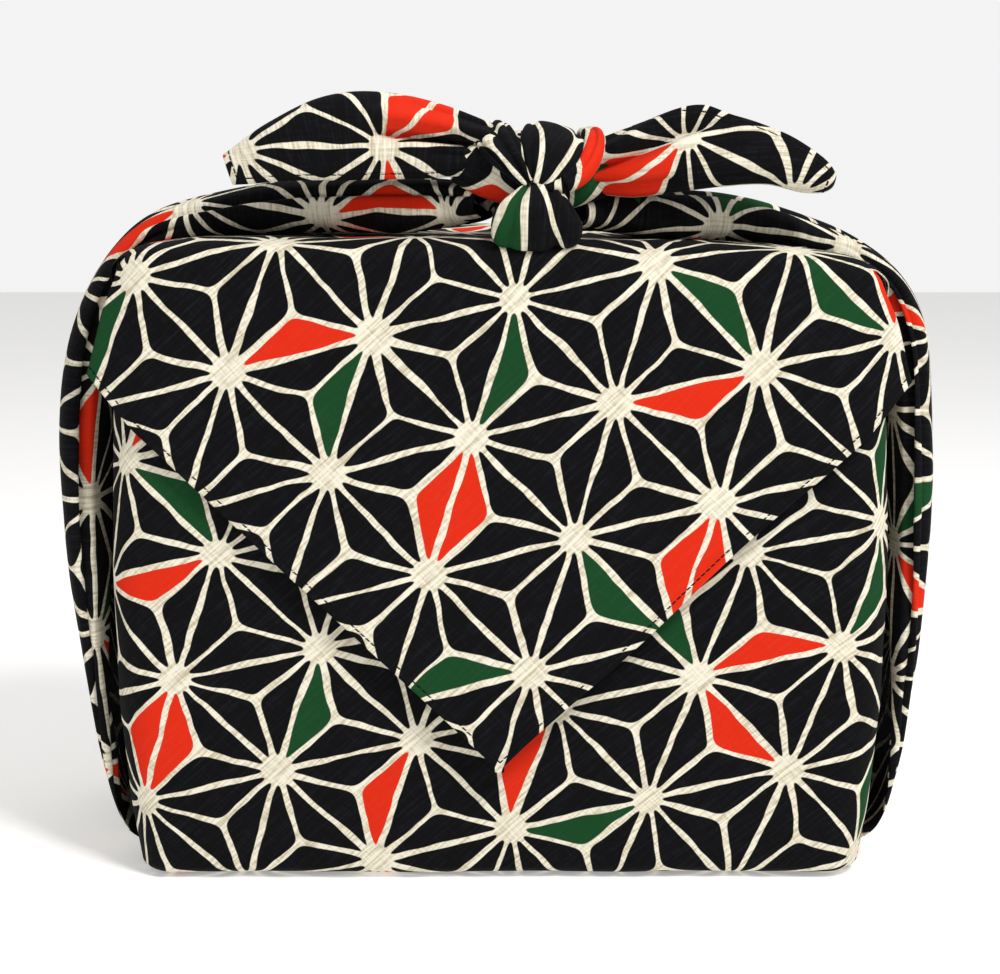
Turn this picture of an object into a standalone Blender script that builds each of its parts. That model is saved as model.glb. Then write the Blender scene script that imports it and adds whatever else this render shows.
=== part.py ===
"""A furoshiki: one square cotton cloth wrapped round a box and tied on top with a square knot.

The back corner of the cloth comes over the lid and hangs down the front as a triangle. The left and right corners
rise from the two ends as wings, cross the lid as straps and meet in the knot, which leaves two free tails.

Metres, +Z up. The front is -Y. The origin is the middle of the flat base.
"""

import math

import bmesh
import bpy
from mathutils import Vector

MM = 0.001

# Driving dimensions.
SHEET = 2.0 * MM  # thickness of the cloth
LID_HEIGHT = 272 * MM  # top of the flap where it crosses the lid
HALF_WIDTH = 155 * MM  # the wrapped bundle, at the lid
HALF_DEPTH = 76 * MM
EDGE_ROUND = 15 * MM  # how soft the upright edges are
TOP_ROUND = 9 * MM
BASE_ROUND = 10 * MM
RIGHT_SAG = 6 * MM  # how much lower the lid lies at its right end
LAYER_GAP = 2.4 * MM  # between the walls and the flap that lies on them
UNEVEN = 1.3 * MM  # slack in the cloth of the broad faces
FLAP_DROP = 221 * MM  # lid's front edge to the flap's tip
CORNER_DROP = 55 * MM  # lid's front edge to the flap's side corners
CORNER_REACH = 11 * MM  # how far those corners stand out past the bundle
CORNER_TURN = math.radians(20)  # how far they turn back round the ends
CORNER_EASE = 30 * MM  # over which height the flap's sides come away from the ends
FLAP_TIP = 2 * MM  # half width of the blunt tip
FLAP_LIFT = 5 * MM  # how far the hanging corner stands off the front
BACK_SEAT = 34 * MM  # how far below the lid the flap leaves the back wall, being one cloth with it
SIDE_DROP = 44 * MM  # how far the flap's sides turn down over the ends
UNDERFLAP_BACK = 22 * MM  # where the front corner, folded over first, ends on the lid
NOTCH_BEHIND = 46 * MM  # the gap between two folds at each end, behind the wing, that leads inside
NOTCH_REACH = 25 * MM
NOTCH_BELOW = 8 * MM

WALL_HEIGHT = LID_HEIGHT - LAYER_GAP - SHEET
WALL_WIDTH = HALF_WIDTH - 0.5 * SHEET
WALL_DEPTH = HALF_DEPTH - LAYER_GAP - SHEET

WALL_CUTS = 7  # grid lines across each wall
FLAP_COLUMNS = 16
WING_ROWS = 18
WING_COLUMNS = 17
ROPE_ROWS = 15
ROPE_SIDES = 14
TAIL_ROWS = 11
TAIL_COLUMNS = 14

# The bundle swells below mid height and its ends draw in at the base: (height, width share, depth share).
BUNDLE = (
    (0 * MM, 1.0, 1.07),
    (30 * MM, 1.03, 1.08),
    (75 * MM, 1.055, 1.07),
    (135 * MM, 1.065, 1.05),
    (205 * MM, 1.05, 1.03),
    (272 * MM, 1.01, 1.0),
)

STRAP_FORWARD = 44  # how far towards the front the straps bear by the time they reach the knot
# The wings' outermost line from the base, over the lid's end and on to the knot:
# (distance out, height, half width, thickness, pleat depth).
LEFT_WING = (
    (153, 7, 54, 3, 0.0),
    (165, 17, 59, 6, 0.0),
    (175, 45, 60, 12, 0.6),
    (184, 95, 59, 18, 1.4),
    (191, 150, 56, 23, 2.4),
    (192, 196, 51, 25, 3.2),
    (186, 232, 46, 22, 4.0),
    (171, 262, 40, 17, 4.4),
    (149, 281, 34, 15, 4.2),
    (117, 289, 29, 16, 3.8),
    (84, 294, 24, 20, 3.2),
    (43, 295, 19, 21, 2.6),
    (8, 291, 14, 20, 1.8),
)
RIGHT_WING = (
    (153, 7, 54, 3, 0.0),
    (166, 17, 59, 6, 0.0),
    (176, 45, 60, 12, 0.6),
    (184, 95, 59, 18, 1.4),
    (188, 150, 56, 20, 2.4),
    (188, 196, 51, 21, 3.2),
    (185, 230, 46, 20, 4.0),
    (174, 254, 40, 16, 4.4),
    (154, 270, 34, 14, 4.2),
    (129, 280, 29, 15, 3.8),
    (100, 287, 24, 18, 3.2),
    (68, 289, 20, 20, 2.6),
    (36, 288, 14, 20, 1.8),
)
WING_LIP = 0.84  # how far round the wing's hem turns back, as a share of half a turn
BASE_LIP = 0.46
PLEATS = 5

# The knot: each side's strap turns back on itself round the other's: (x, y, z, radius).
LEFT_BIGHT = (
    (-36, -42, 283, 9.0),
    (-14, -50, 282, 11.0),
    (8, -62, 280, 11.5),
    (26, -66, 284, 11.5),
    (33, -62, 296, 10.5),
    (25, -58, 308, 11.0),
    (6, -53, 308, 11.0),
    (-15, -47, 309, 9.5),
)
RIGHT_BIGHT = (
    (62, -42, 279, 9.0),
    (43, -38, 280, 10.0),
    (22, -36, 280, 10.0),
    (7, -31, 281, 9.5),
    (-8, -27, 296, 7.5),
    (7, -31, 310, 8.5),
    (25, -37, 310, 9.0),
    (44, -43, 308, 8.0),
)

# The tails hang folded over their top line: (x, top, bottom, middle y, belly).
LEFT_TAIL = (
    (-8, 320, 298, -47, 10),
    (-28, 327, 296, -48, 13),
    (-50, 331, 295, -50, 14),
    (-70, 329, 294, -52, 13.5),
    (-90, 320, 294, -54, 11),
    (-103, 311, 293, -55, 7.5),
    (-110, 304, 293, -55, 5.4),
)
RIGHT_TAIL = (
    (38, 310, 289, -45, 9),
    (56, 318, 288, -47, 12),
    (77, 324, 291, -50, 13.5),
    (96, 322, 293, -52, 12.5),
    (113, 316, 293, -54, 11),
    (127, 309, 291, -56, 8),
    (135, 302, 291, -57, 5.2),
)


def clear_scene():
    for obj in list(bpy.data.objects):
        bpy.data.objects.remove(obj)


def cotton():
    """Printed cotton: near black, matt."""
    material = bpy.data.materials.new("printed_cotton")
    material.use_nodes = True
    shader = material.node_tree.nodes["Principled BSDF"]
    shader.inputs["Base Color"].default_value = (0.012, 0.013, 0.018, 1)
    shader.inputs["Roughness"].default_value = 0.85
    shader.inputs["Metallic"].default_value = 0.0
    return material


def blend(low, high, share):
    return low + (high - low) * share


def between(table, at):
    """The table's values at a value of its first column, eased from row to row."""
    for row, following in zip(table, table[1:]):
        if at <= following[0]:
            share = max(0.0, min(1.0, (at - row[0]) / (following[0] - row[0])))
            return [blend(p, q, share) for p, q in zip(row[1:], following[1:])]
    return list(table[-1][1:])


def along(rows, share):
    """A smooth curve through all the rows' columns, at a share of the way from the first row to the last."""
    steps = len(rows) - 1
    place = min(max(share, 0.0), 1.0) * steps
    index = min(int(place), steps - 1)
    t = place - index
    before = rows[max(index - 1, 0)]
    start, end = rows[index], rows[index + 1]
    after = rows[min(index + 2, steps)]
    values = []
    for p0, p1, p2, p3 in zip(before, start, end, after):
        curve = 2 * p1 + (p2 - p0) * t
        curve += (2 * p0 - 5 * p1 + 4 * p2 - p3) * t * t
        curve += (3 * p1 - p0 - 3 * p2 + p3) * t * t * t
        values.append(0.5 * curve)
    return values


def swell(point):
    """A point of the plain rounded box moved to the bundle's soft shape."""
    wide, deep = between(BUNDLE, point.z)
    slack = UNEVEN * math.sin(point.x / (52 * MM) + 0.9) * math.sin(point.z / (64 * MM) + 0.4)
    sag = RIGHT_SAG * max(0.0, point.x / HALF_WIDTH) ** 2 * (point.z / LID_HEIGHT) ** 2
    return Vector((point.x * wide, point.y * deep + slack, point.z - sag))


def on_box(point, off):
    """A point of a plain box's surface moved to the same box with soft edges, that far outside the walls."""
    width, depth, height = WALL_WIDTH + off, WALL_DEPTH + off, WALL_HEIGHT + off
    upper = height - TOP_ROUND
    core = Vector(
        (
            max(EDGE_ROUND - width, min(width - EDGE_ROUND, point.x)),
            max(EDGE_ROUND - depth, min(depth - EDGE_ROUND, point.y)),
            max(BASE_ROUND, min(upper, point.z)),
        )
    )
    reach = Vector((EDGE_ROUND, EDGE_ROUND, TOP_ROUND if point.z > upper else BASE_ROUND))
    out = Vector((point[k] - core[k]) / reach[k] for k in range(3))
    if out.length > 0:
        out.normalize()
    return swell(Vector(core[k] + out[k] * reach[k] for k in range(3)))


def link(name, mesh, material):
    obj = bpy.data.objects.new(name, mesh)
    bpy.context.scene.collection.objects.link(obj)
    mesh.materials.append(material)
    return obj


def thicken(obj):
    """Gives an open sheet its thickness, inwards from the surface that shows."""
    solid = obj.modifiers.new("cloth thickness", "SOLIDIFY")
    solid.thickness = SHEET
    solid.offset = -1
    solid.use_even_offset = True
    obj.modifiers.new("flat faces", "TRIANGULATE")


def bent_grid(name, rows, columns, place, material):
    """A flat grid of cloth with each of its points moved to place(along, across), both from 0 to 1."""
    shape = bmesh.new()
    bmesh.ops.create_grid(shape, x_segments=columns, y_segments=rows, size=0.5)
    for vert in shape.verts:
        vert.co = place(vert.co.y + 0.5, vert.co.x + 0.5)
    bmesh.ops.remove_doubles(shape, verts=shape.verts, dist=0.02 * MM)
    mesh = bpy.data.meshes.new(name)
    shape.to_mesh(mesh)
    shape.free()
    return link(name, mesh, material)


def spread(share, half, soft):
    """-half to half, with two of the grid's steps on each soft edge."""
    edge_steps = 2 / (WALL_CUTS + 1) * 2
    inner = 1 - edge_steps
    size = abs(share)
    if size > inner:
        size = half - soft + soft * (size - inner) / edge_steps
    else:
        size = (half - soft) * size / inner
    return math.copysign(size, share)


def make_walls(material):
    """The four walls, the base and the first corner folded over the lid, as one open shell."""
    shape = bmesh.new()
    bmesh.ops.create_cube(shape, size=2)
    bmesh.ops.subdivide_edges(shape, edges=shape.edges, cuts=WALL_CUTS, use_grid_fill=True)
    for vert in shape.verts:
        x, y, z = vert.co
        middle = 0.5 * WALL_HEIGHT
        vert.co = Vector(
            (
                spread(x, WALL_WIDTH, EDGE_ROUND),
                spread(y, WALL_DEPTH, EDGE_ROUND),
                middle + spread(z, middle, BASE_ROUND),
            )
        )
    unwanted = []
    for face in shape.faces:
        middle = face.calc_center_median()
        if middle.z > WALL_HEIGHT - 0.1 * MM and middle.y > UNDERFLAP_BACK:
            unwanted.append(face)
    bmesh.ops.delete(shape, geom=unwanted, context="FACES")
    for vert in shape.verts:
        vert.co = on_box(vert.co, 0.0)
    mesh = bpy.data.meshes.new("walls")
    shape.to_mesh(mesh)
    shape.free()
    walls = link("wrap", mesh, material)
    thicken(walls)
    return walls


def make_notch(material):
    """A square bar set on its edge, which leaves each end wall with two slanting folds below the lid."""
    shape = bmesh.new()
    side = math.sqrt(2) * NOTCH_REACH
    bmesh.ops.create_cube(shape, size=1)
    bmesh.ops.scale(shape, vec=(4 * HALF_WIDTH, side, side), verts=shape.verts)
    mesh = bpy.data.meshes.new("notch")
    shape.to_mesh(mesh)
    shape.free()
    notch = link("notch", mesh, material)
    notch.location = (0, NOTCH_BEHIND, WALL_HEIGHT - NOTCH_BELOW)
    notch.rotation_euler = (math.radians(45), 0, 0)
    return notch


def flap_rows():
    """Distances down the flap from the lid's front edge, negative on the lid; those near the edge come in pairs."""
    corner = (0, 4, 8, 14, 26)
    lid_end = 2 * HALF_DEPTH / MM
    lid = (44, 70, 96, 120, 140, 147, lid_end)
    back = (lid_end + 16, lid_end + BACK_SEAT / MM)
    front = (40, CORNER_DROP / MM, 76, 100, 126, 152, 178, 202, FLAP_DROP / MM)
    rows = [-v for v in reversed(corner[1:] + lid + back)]
    return [v * MM for v in rows + list(corner) + list(front)]


def flap_half_width(down):
    """Half the cloth's width at a distance down from the lid's front edge."""
    if down >= 0:
        side = HALF_WIDTH + CORNER_REACH * min(1.0, down / CORNER_DROP)
        return max(FLAP_TIP, min(side, FLAP_DROP - down))
    from_back = 2 * HALF_DEPTH + down
    return HALF_WIDTH + max(0.0, min(-down, SIDE_DROP, 0.85 * (from_back - 22 * MM)))


def flap_place(down, across):
    """The place of a point of the flap: across is its distance from the middle line."""
    off = LAYER_GAP + SHEET
    width, depth, height = WALL_WIDTH + off, WALL_DEPTH + off, WALL_HEIGHT + off
    beyond = max(0.0, abs(across) - width)
    x = math.copysign(min(abs(across), width), across)
    lid_length = 2 * depth
    if down >= 0:
        flat = Vector((x, -depth, height - down))
    elif -down <= lid_length:
        flat = Vector((x, -depth - down, height - beyond))
    else:
        flat = Vector((x, depth, height - (-down - lid_length)))
    point = on_box(flat, off)
    past = abs(across) - (width - EDGE_ROUND)
    if down > 0 and past > 0:
        flat = Vector((math.copysign(width - EDGE_ROUND, across), -depth, height - down))
        straight = on_box(flat, off)
        straight.x += math.copysign(past * math.cos(CORNER_TURN), across)
        straight.y += past * math.sin(CORNER_TURN)
        point = point.lerp(straight, min(1.0, down / CORNER_EASE))
    if -down > lid_length:
        point.y -= (off + 0.4 * SHEET) * (-down - lid_length) / BACK_SEAT
    hanging = max(0.0, down) / FLAP_DROP
    lift = FLAP_LIFT * hanging * hanging
    lift += 1.5 * MM * hanging * math.sin(across / (46 * MM) + 0.6)
    point.y -= lift
    if -lid_length < down < 0:
        sag = math.cos(0.5 * math.pi * min(1.0, abs(across) / width))
        point.z -= 1.5 * MM * sag * math.sin(math.pi * -down / lid_length)
    return point


def make_flap(material):
    """The back corner: over the lid, turned down at its sides, and hanging down the front to a point."""
    rows = flap_rows()

    def place(forward, sideways):
        down = rows[round(forward * (len(rows) - 1))]
        return flap_place(down, (2 * sideways - 1) * flap_half_width(down))

    flap = bent_grid("flap", len(rows) - 1, FLAP_COLUMNS, place, material)
    flip_towards(flap, Vector((0, 0, 0.5 * LID_HEIGHT)))
    thicken(flap)
    return flap


def flip_towards(obj, inside):
    """Turns a sheet's faces so that most of them look away from a point."""
    votes = 0.0
    for face in obj.data.polygons:
        votes += face.area * face.normal.dot(face.center - inside)
    if votes < 0:
        obj.data.flip_normals()


def make_wing(name, rows, side, material):
    """One end's cloth, drawn in from the base to the knot, with both edges turned under."""

    def place(forward, sideways):
        out, height, half, thick, pleat = along(rows, forward)
        ahead = along(rows, forward + 0.01)
        behind = along(rows, forward - 0.01)
        run = Vector((side * (ahead[0] - behind[0]), 0, ahead[1] - behind[1])).normalized()
        outward = Vector((side * run.z, 0, -side * run.x))
        lip = blend(BASE_LIP, WING_LIP, min(1.0, max(0.0, (forward - 0.1) / 0.2)))
        turn = (2 * sideways - 1) * lip * math.pi
        sine, cosine = math.sin(turn), math.cos(turn)
        across = half * math.copysign(abs(sine) ** 0.8, sine)
        depth = 0.5 * thick * (math.copysign(abs(cosine) ** 0.65, cosine) - 1)
        depth -= pleat * (0.5 - 0.5 * math.cos(PLEATS * turn)) * max(0.0, cosine + 0.35)
        bear = STRAP_FORWARD * max(0.0, (forward - 0.5) / 0.5) ** 1.5
        middle = Vector((side * out, -bear, height))
        return (middle + outward * depth + Vector((0, across, 0))) * MM

    wing = bent_grid(name, WING_ROWS, WING_COLUMNS, place, material)
    flip_towards(wing, Vector((0, 0, 0.4 * LID_HEIGHT)))
    thicken(wing)
    return wing


def make_rope(name, rows, material):
    """Gathered cloth, packed solid where the knot squeezes it: a closed tube with shallow pleats."""

    def place(forward, sideways):
        x, y, z, radius = along(rows, forward)
        ahead = Vector(along(rows, forward + 0.02)[:3])
        behind = Vector(along(rows, forward - 0.02)[:3])
        run = (ahead - behind).normalized()
        first = run.cross(Vector((0, 1, 0))).normalized()
        second = run.cross(first)
        turn = 2 * math.pi * sideways
        reach = radius * (1 + 0.09 * math.cos(4 * turn + 5 * forward))
        return (Vector((x, y, z)) + (first * math.cos(turn) + second * math.sin(turn)) * reach) * MM

    rope = bent_grid(name, ROPE_ROWS, ROPE_SIDES, place, material)
    shape = bmesh.new()
    shape.from_mesh(rope.data)
    bmesh.ops.holes_fill(shape, edges=[edge for edge in shape.edges if edge.is_boundary], sides=0)
    bmesh.ops.recalc_face_normals(shape, faces=shape.faces)
    bmesh.ops.triangulate(shape, faces=shape.faces)
    shape.to_mesh(rope.data)
    shape.free()
    return rope


def make_tail(name, rows, material):
    """A free corner of the cloth, folded over its top line with both hems hanging down."""

    def place(forward, sideways):
        x, top, bottom, middle, belly = along(rows, forward)
        turn = (2 * sideways - 1) * 0.82 * math.pi
        height = 0.5 * (top + bottom) + 0.5 * (top - bottom) * math.cos(turn)
        bulge = belly * math.sin(turn) * (1 + 0.12 * math.sin(3.2 * turn + 4 * forward))
        return Vector((x, middle + bulge, height)) * MM

    tail = bent_grid(name, TAIL_ROWS, TAIL_COLUMNS, place, material)
    middle = Vector(rows[len(rows) // 2][k] for k in (0, 3, 1)) * MM
    flip_towards(tail, middle - Vector((0, 0, 15 * MM)))
    thicken(tail)
    return tail


def move_to(collection, obj):
    for current in list(obj.users_collection):
        current.objects.unlink(obj)
    collection.objects.link(obj)


def set_aside(collection, obj):
    """Keeps a shape only as a modifier's operand."""
    move_to(collection, obj)
    obj.hide_render = True
    obj.display_type = "WIRE"


def cut(target, cutter):
    cutters = bpy.data.collections.new("cutters")
    bpy.context.scene.collection.children.link(cutters)
    set_aside(cutters, cutter)
    difference = target.modifiers.new(cutter.name, "BOOLEAN")
    difference.operation = "DIFFERENCE"
    difference.object = cutter


def join(target, sheets):
    """Joins the sheets to the walls, because all of them are one cloth."""
    guides = bpy.data.collections.new("sheets joined into the wrap")
    bpy.context.scene.collection.children.link(guides)
    for sheet in sheets:
        set_aside(guides, sheet)
    union = target.modifiers.new("one cloth", "BOOLEAN")
    union.operation = "UNION"
    union.operand_type = "COLLECTION"
    union.collection = guides


def shells(shape):
    """The mesh's separate surfaces, each as a list of faces."""
    found = []
    seen = set()
    for start in shape.faces:
        if start in seen:
            continue
        seen.add(start)
        shell = [start]
        for face in shell:
            for edge in face.edges:
                for neighbour in edge.link_faces:
                    if neighbour not in seen:
                        seen.add(neighbour)
                        shell.append(neighbour)
        found.append(shell)
    return found


def settle(obj):
    """Makes the joined shape final and fills the specks of space left where two folds press together."""
    evaluated = obj.evaluated_get(bpy.context.evaluated_depsgraph_get())
    mesh = bpy.data.meshes.new_from_object(evaluated)
    shape = bmesh.new()
    shape.from_mesh(mesh)
    specks = sorted(shells(shape), key=len)[:-1]
    bmesh.ops.delete(shape, geom=[face for speck in specks for face in speck], context="FACES")
    shape.to_mesh(mesh)
    shape.free()
    obj.modifiers.clear()
    obj.data = mesh


def main():
    clear_scene()
    material = cotton()
    wrap = make_walls(material)
    model = bpy.data.collections.new("furoshiki wrap")
    bpy.context.scene.collection.children.link(model)
    move_to(model, wrap)
    sheets = [
        make_flap(material),
        make_wing("left_wing", LEFT_WING, -1, material),
        make_wing("right_wing", RIGHT_WING, 1, material),
        make_rope("left_bight", LEFT_BIGHT, material),
        make_rope("right_bight", RIGHT_BIGHT, material),
        make_tail("left_tail", LEFT_TAIL, material),
        make_tail("right_tail", RIGHT_TAIL, material),
    ]
    cut(wrap, make_notch(material))
    join(wrap, sheets)
    settle(wrap)


main()
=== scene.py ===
import math

import bmesh
import bpy
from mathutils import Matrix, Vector, noise


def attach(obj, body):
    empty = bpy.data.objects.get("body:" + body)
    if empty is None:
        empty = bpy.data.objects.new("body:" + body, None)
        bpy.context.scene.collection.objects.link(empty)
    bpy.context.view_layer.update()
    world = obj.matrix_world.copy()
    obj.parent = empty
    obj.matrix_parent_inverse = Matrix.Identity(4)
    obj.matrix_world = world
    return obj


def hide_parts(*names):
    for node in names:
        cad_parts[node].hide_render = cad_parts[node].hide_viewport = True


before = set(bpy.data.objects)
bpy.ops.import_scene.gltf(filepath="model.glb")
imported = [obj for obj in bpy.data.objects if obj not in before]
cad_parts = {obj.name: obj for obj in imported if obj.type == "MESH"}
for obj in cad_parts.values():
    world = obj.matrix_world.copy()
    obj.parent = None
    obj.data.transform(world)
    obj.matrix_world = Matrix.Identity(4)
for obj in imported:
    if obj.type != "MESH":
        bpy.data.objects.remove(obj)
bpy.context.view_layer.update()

mm = 0.001


def blend(low, high, share):
    return low + (high - low) * share


def ease(low, high, value):
    share = max(0.0, min(1.0, (value - low) / (high - low)))
    return share * share * (3 - 2 * share)


def hump(distance, width):
    return math.exp(-(distance / width) ** 2)


def signedPower(value, power):
    return math.copysign(abs(value) ** power, value)


def readTable(table, at):  # straight lines from row to row, looked up by the first column
    for row, following in zip(table, table[1:]):
        if at <= following[0]:
            share = max(0.0, min(1.0, (at - row[0]) / (following[0] - row[0])))
            return [blend(p, q, share) for p, q in zip(row[1:], following[1:])]
    return list(table[-1][1:])


def curveThrough(rows, share):  # a smooth curve through all the rows
    steps = len(rows) - 1
    place = min(max(share, 0.0), 1.0) * steps
    index = min(int(place), steps - 1)
    t = place - index
    near = [rows[min(max(index + k, 0), steps)] for k in (-1, 0, 1, 2)]
    found = []
    for p0, p1, p2, p3 in zip(*near):
        value = 2 * p1 + (p2 - p0) * t
        value += (2 * p0 - 5 * p1 + 4 * p2 - p3) * t * t
        value += (3 * p1 - p0 - 3 * p2 + p3) * t * t * t
        found.append(0.5 * value)
    return found


# The cloth: its print repeats on a lattice of twelve-rayed stars, one axis of it along the cloth's edge.
# Places on the print are in metres of flat cloth.
cloth = {
    "thick": 0.5,
    "starPitch": 57.5,
    "edgeTurn": 45.0,  # the cloth is used cornerwise
    "hemLine": 2.9,  # stitch line's distance from the edge
    "noHem": 60.0,  # hem distance given where there is no hem
}

edgeAxis = Vector((math.cos(math.radians(cloth["edgeTurn"])), math.sin(math.radians(cloth["edgeTurn"]))))
edgeAxis *= cloth["starPitch"] * mm
slantTurn = math.radians(cloth["edgeTurn"] - 60)
slantAxis = Vector((math.cos(slantTurn), math.sin(slantTurn))) * cloth["starPitch"] * mm


def printPlace(layout, along, across):  # flat cloth place from the distances off the piece's star
    turn = math.radians(layout["turn"])
    s = layout["signs"][0] * along * mm
    w = layout["signs"][1] * across * mm
    star = edgeAxis * layout["star"][0] + slantAxis * layout["star"][1]
    return (
        star.x + s * math.cos(turn) - w * math.sin(turn),
        star.y + s * math.sin(turn) + w * math.cos(turn),
    )


def selectOnly(piece):
    bpy.ops.object.select_all(action="DESELECT")
    piece.select_set(True)
    bpy.context.view_layer.objects.active = piece


def applyAll(piece):
    selectOnly(piece)
    for modifier in list(piece.modifiers):
        bpy.ops.object.modifier_apply(modifier=modifier.name)


def slackInCloth(place):  # the small unevenness that the whole cloth has
    broad = noise.noise(place / 46)
    fine = noise.noise(place / 17 + Vector((7, 3, 5)))
    return 0.55 * broad + 0.22 * fine


def finishSheet(piece, inside, slack=1.0):
    mesh = piece.data
    shape = bmesh.new()
    shape.from_mesh(mesh)
    bmesh.ops.remove_doubles(shape, verts=shape.verts, dist=0.004 * mm)
    shape.normal_update()
    votes = sum(face.calc_area() * face.normal.dot(face.calc_center_median() - inside(face)) for face in shape.faces)
    if votes < 0:
        bmesh.ops.reverse_faces(shape, faces=shape.faces)
        shape.normal_update()
    moved = [vert.co + vert.normal * slack * slackInCloth(vert.co / mm) * mm for vert in shape.verts]
    for vert, co in zip(shape.verts, moved):
        if co.z > 1 * mm:
            vert.co = co
    shape.to_mesh(mesh)
    shape.free()
    shell = piece.modifiers.new("thickness", "SOLIDIFY")
    shell.thickness = cloth["thick"] * mm
    shell.offset = -1
    applyAll(piece)
    selectOnly(piece)
    bpy.ops.object.shade_smooth()


def clothGrid(name, points, prints, hems):  # points in mm, row by row
    rows, columns = len(points), len(points[0])
    mesh = bpy.data.meshes.new(name)
    places = [Vector(point) * mm for row in points for point in row]
    faces = []
    for r in range(rows - 1):
        for c in range(columns - 1):
            first = r * columns + c
            faces.append((first, first + 1, first + columns + 1, first + columns))
    mesh.from_pydata(places, [], faces)
    flatPrints = [place for row in prints for place in row]
    layer = mesh.uv_layers.new(name="clothMetres")
    for loop in mesh.loops:
        layer.data[loop.index].uv = flatPrints[loop.vertex_index]
    flatHems = [hem for row in hems for hem in row]
    for column, attributeName in enumerate(("hemDistance", "hemRun")):
        attribute = mesh.attributes.new(attributeName, "FLOAT", "POINT")
        attribute.data.foreach_set("value", [hem[column] for hem in flatHems])
    piece = bpy.data.objects.new(name, mesh)
    bpy.context.scene.collection.objects.link(piece)
    return piece


bundle = {
    "lid": 272,
    "halfWidth": 155,
    "halfDepth": 76,
    "edgeRound": 15,
    "topRound": 9,
    "baseRound": 6,
    "layerGap": 4.4,  # from the walls to the outside of the flap
    "shape": (  # height, width share, depth share
        (0, 1.0, 1.07),
        (30, 1.03, 1.08),
        (75, 1.055, 1.07),
        (135, 1.065, 1.05),
        (205, 1.05, 1.03),
        (272, 1.01, 1.0),
    ),
    "slack": 1.3,
    "rightSag": 6,
    "endSag": 5,
}
wallHeight = bundle["lid"] - bundle["layerGap"]
wallWidth = bundle["halfWidth"] - 1
wallDepth = bundle["halfDepth"] - bundle["layerGap"]


def swell(point):
    wide, deep = readTable(bundle["shape"], point.z)
    slack = bundle["slack"] * math.sin(point.x / 52 + 0.9) * math.sin(point.z / 64 + 0.4)
    sag = bundle["rightSag"] * max(0.0, point.x / bundle["halfWidth"]) ** 2 * (point.z / bundle["lid"]) ** 2
    sag += bundle["endSag"] * max(0.0, abs(point.x) - 105) ** 2 / 50**2 * (point.z / bundle["lid"]) ** 5
    return Vector((point.x * wide, point.y * deep + slack, point.z - sag))


def onBundle(point, off):  # a plain box's point, moved to the soft box's surface
    width, depth, height = wallWidth + off, wallDepth + off, wallHeight + off
    edge, top, base = bundle["edgeRound"], bundle["topRound"], bundle["baseRound"]
    upper = height - top
    core = Vector(
        (
            max(edge - width, min(width - edge, point.x)),
            max(edge - depth, min(depth - edge, point.y)),
            max(base, min(upper, point.z)),
        )
    )
    reach = Vector((edge, edge, top if point.z > upper else base))
    out = Vector([(point[k] - core[k]) / reach[k] for k in range(3)])
    if out.length > 0:
        out.normalize()
    return swell(Vector([core[k] + out[k] * reach[k] for k in range(3)]))


walls = {
    "cuts": 62,
    "softLines": 7,  # grid lines kept for each soft edge
    "underflapEnd": 22,
    "backStart": 1.6,  # where the print starts up the back, in half depths
    "notch": (46, 25, 8),  # middle, reach and drop of the gap between two folds behind each wing
    # soft troughs in the front: from x, z to x, z, depth, width
    "creases": (
        (-150, 34, -96, 92, 1.1, 9),
        (-140, 8, -60, 30, 0.9, 8),
        (146, 14, 92, 70, 1.3, 9),
        (150, 60, 118, 150, 1.0, 8),
        (-149, 150, -120, 60, 0.8, 7),
        (30, 6, 70, 40, 0.7, 9),
    ),
}
frontArc = [0.0]
arcSteps = 280  # 1 mm each, past the lid
for step in range(1, arcSteps + 1):
    low = readTable(bundle["shape"], step - 1)[1] * wallDepth
    high = readTable(bundle["shape"], step)[1] * wallDepth
    frontArc.append(frontArc[-1] + math.hypot(1, high - low))


# How the print lies, with the slight stretch and skew of wrapped cloth: start, share of across, share of down.
bodyLie = ((-3.1, 0.999, 0.0609), (22.9, -0.0149, 1.0357))
flapLie = ((-18.7, 0.9931, 0.0334), (598.2, -0.0007, 0.9796))


def wrappedPrint(lie, across, down):
    return [(start + acrossShare * across + downShare * down) * mm for start, acrossShare, downShare in lie]


def bodyPrint(x, down):
    return wrappedPrint(bodyLie, x, down)


def spreadLines(share, half, soft):
    soften = 2 * walls["softLines"] / (walls["cuts"] + 1)
    inner = 1 - soften
    size = abs(share)
    if size > inner:
        size = half - soft + soft * (size - inner) / soften
    else:
        size = (half - soft) * size / inner
    return math.copysign(size, share)


def creaseDepth(table, x, z):
    deep = 0.0
    for x0, z0, x1, z1, depth, width in table:
        run = Vector((x1 - x0, z1 - z0))
        share = ((x - x0) * run.x + (z - z0) * run.y) / run.length_squared
        nearest = max(0.0, min(1.0, share))
        away = math.hypot(x - x0 - run.x * nearest, z - z0 - run.y * nearest)
        deep += depth * hump(away, width) * math.sin(math.pi * (0.15 + 0.7 * nearest))
    return deep


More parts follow.
